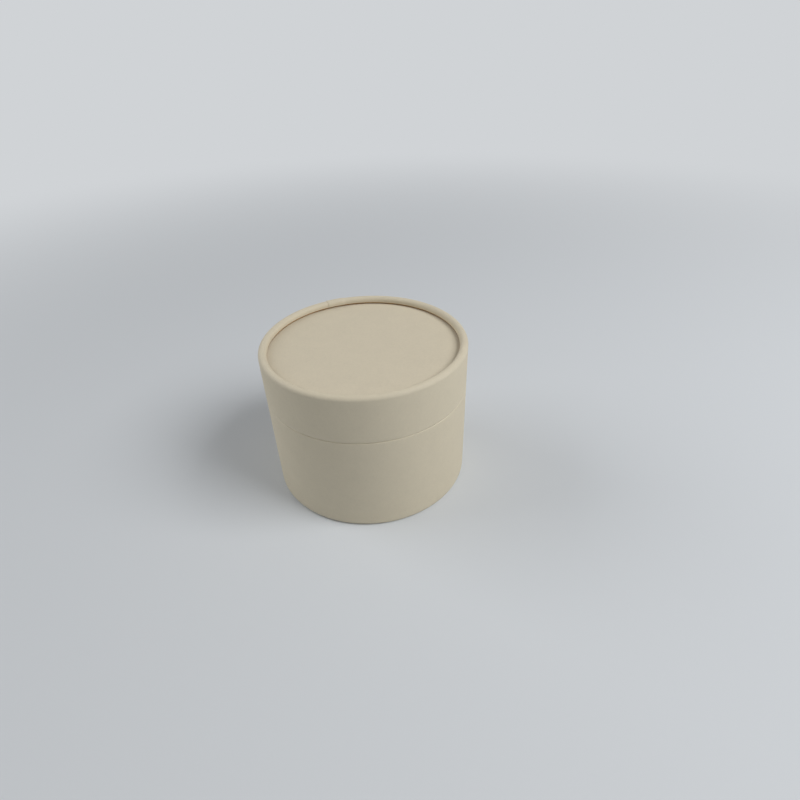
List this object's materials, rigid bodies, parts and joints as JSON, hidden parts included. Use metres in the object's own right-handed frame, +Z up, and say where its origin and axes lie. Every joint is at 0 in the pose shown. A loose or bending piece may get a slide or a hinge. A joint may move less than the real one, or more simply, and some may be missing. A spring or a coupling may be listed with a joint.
{
  "type": "cylindrical gift tube box",
  "caption": "Round lidded gift box of curled board tube covered in plain cream paper; the lid slides down over an inner neck and lifts straight off.",
  "frame": {"origin": "on the table, under the middle of the round foot of the closed box", "axes": "+Z up, along the box's axis of revolution and the way the lid lifts; X and Y lie in the table plane, with the pictured side facing -Y"},
  "size_m": [0.09, 0.09, 0.068],
  "materials": {
    "cover_paper": "matte uncoated cream cover paper",
    "lining_paper": "matte off-white lining paper",
    "tube_board": "raw wound tube board, grey-brown",
    "disc_board": "raw solid grey board"
  },
  "bodies": {
    "base": {"base_wrap": "cover_paper", "base_tube": "tube_board", "base_bottom_board": "disc_board", "base_bottom_facing": "cover_paper", "base_floor_lining": "lining_paper", "neck_tube": "tube_board", "neck_cover": "cover_paper", "neck_lining": "lining_paper"},
    "lid": {"lid_wrap": "cover_paper", "lid_tube": "tube_board", "lid_top_board": "disc_board", "lid_top_facing": "cover_paper", "lid_ceiling_lining": "lining_paper"}
  },
  "joints": [
    {"name": "lid_lift", "type": "slide", "parent": "base", "child": "lid", "axis": [0, 0, 1], "range_m": [0, 0.1]}
  ]
}
